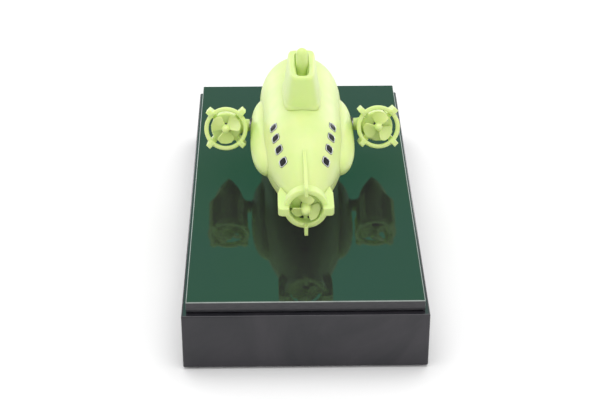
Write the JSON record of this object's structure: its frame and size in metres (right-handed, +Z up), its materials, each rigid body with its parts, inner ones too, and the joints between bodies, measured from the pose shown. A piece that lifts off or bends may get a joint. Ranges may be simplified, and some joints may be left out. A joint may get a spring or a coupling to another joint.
{
  "type": "toy submarine on display base",
  "caption": "Palm-sized motor submarine with a ringed stern propeller and two tilting side pods, resting on a glossy stepped display base.",
  "frame": {"origin": "centre of the underside of the base, level with the soles of its rubber feet", "axes": "+Z up, +Y towards the submarine's bow, +X to starboard"},
  "size_m": [0.105, 0.2134, 0.0984],
  "materials": {
    "lime_plastic": "smooth, slightly translucent moulded plastic",
    "gloss_black": "polished lacquer",
    "green_gloss": "mirror-like polished sheet",
    "black_plastic": "moulded, satin",
    "black_rubber": "matte",
    "bright_steel": "turned, bright",
    "dark_pane": "polished dark pane in a silver frame",
    "foil_wrap": "wrapped foil, satin",
    "board_laminate": "lacquered laminate",
    "brass": "turned, bright"
  },
  "bodies": {
    "display_base": {"base_cover": "black_plastic", "base_foot_bow_port": "black_rubber", "base_foot_bow_starboard": "black_rubber", "base_foot_stern_port": "black_rubber", "base_foot_stern_starboard": "black_rubber", "base_shell": "gloss_black", "cover_screw_bow_port": "bright_steel", "cover_screw_bow_starboard": "bright_steel", "cover_screw_stern_port": "bright_steel", "cover_screw_stern_starboard": "bright_steel", "cradle_screw": "bright_steel", "cradle_washer": "bright_steel", "platform_plate": "green_gloss", "support_cradle": "black_plastic"},
    "submarine": {"ballast_weight": "bright_steel", "battery": "foil_wrap", "charging_socket": "brass", "circuit_board": "board_laminate", "conning_tower": "lime_plastic", "hull_screw_aft": "bright_steel", "hull_screw_fore": "bright_steel", "inner_chassis": "black_plastic", "lower_hull": "lime_plastic", "periscope": "lime_plastic", "port_pivot_bush": "black_plastic", "port_saddle_tank": "lime_plastic", "port_window_1": "dark_pane", "port_window_2": "dark_pane", "port_window_3": "dark_pane", "port_window_4": "dark_pane", "starboard_pivot_bush": "black_plastic", "starboard_saddle_tank": "lime_plastic", "starboard_window_1": "dark_pane", "starboard_window_2": "dark_pane", "starboard_window_3": "dark_pane", "starboard_window_4": "dark_pane", "stern_motor": "bright_steel", "stern_nozzle": "lime_plastic", "stern_shaft_seal": "black_rubber", "upper_hull": "lime_plastic"},
    "pods": {"pod_cross_tube": "bright_steel", "port_pod_guard": "lime_plastic", "port_pod_housing": "lime_plastic", "port_pod_motor": "bright_steel", "port_pod_nose": "lime_plastic", "port_pod_seal": "black_rubber", "starboard_pod_guard": "lime_plastic", "starboard_pod_housing": "lime_plastic", "starboard_pod_motor": "bright_steel", "starboard_pod_nose": "lime_plastic", "starboard_pod_seal": "black_rubber"},
    "stern_propeller": {"stern_propeller": "lime_plastic", "stern_shaft": "bright_steel"},
    "port_propeller": {"port_propeller": "lime_plastic", "port_shaft": "bright_steel"},
    "starboard_propeller": {"starboard_propeller": "lime_plastic", "starboard_shaft": "bright_steel"}
  },
  "joints": [
    {"name": "submarine_lift", "type": "slide", "parent": "display_base", "child": "submarine", "axis": [0, 0, 1], "range_m": [0, 0.05]},
    {"name": "pods_tilt", "type": "hinge", "parent": "submarine", "child": "pods", "pos_m": [0.00017, 0.0149, 0.0546], "axis": [1, 0.0087, 0], "range_deg": [-23, 67]},
    {"name": "stern_propeller_spin", "type": "hinge", "parent": "submarine", "child": "stern_propeller", "pos_m": [0.00088, -0.066, 0.0546], "axis": [-0.0087, 1, 0], "continuous": true},
    {"name": "port_propeller_spin", "type": "hinge", "parent": "pods", "child": "port_propeller", "pos_m": [-0.03529, -0.00071, 0.06078], "axis": [-0.0081, 0.9271, -0.3746], "continuous": true},
    {"name": "starboard_propeller_spin", "type": "hinge", "parent": "pods", "child": "starboard_propeller", "pos_m": [0.0359, -0.00009, 0.06078], "axis": [-0.0081, 0.9271, -0.3746], "continuous": true}
  ]
}
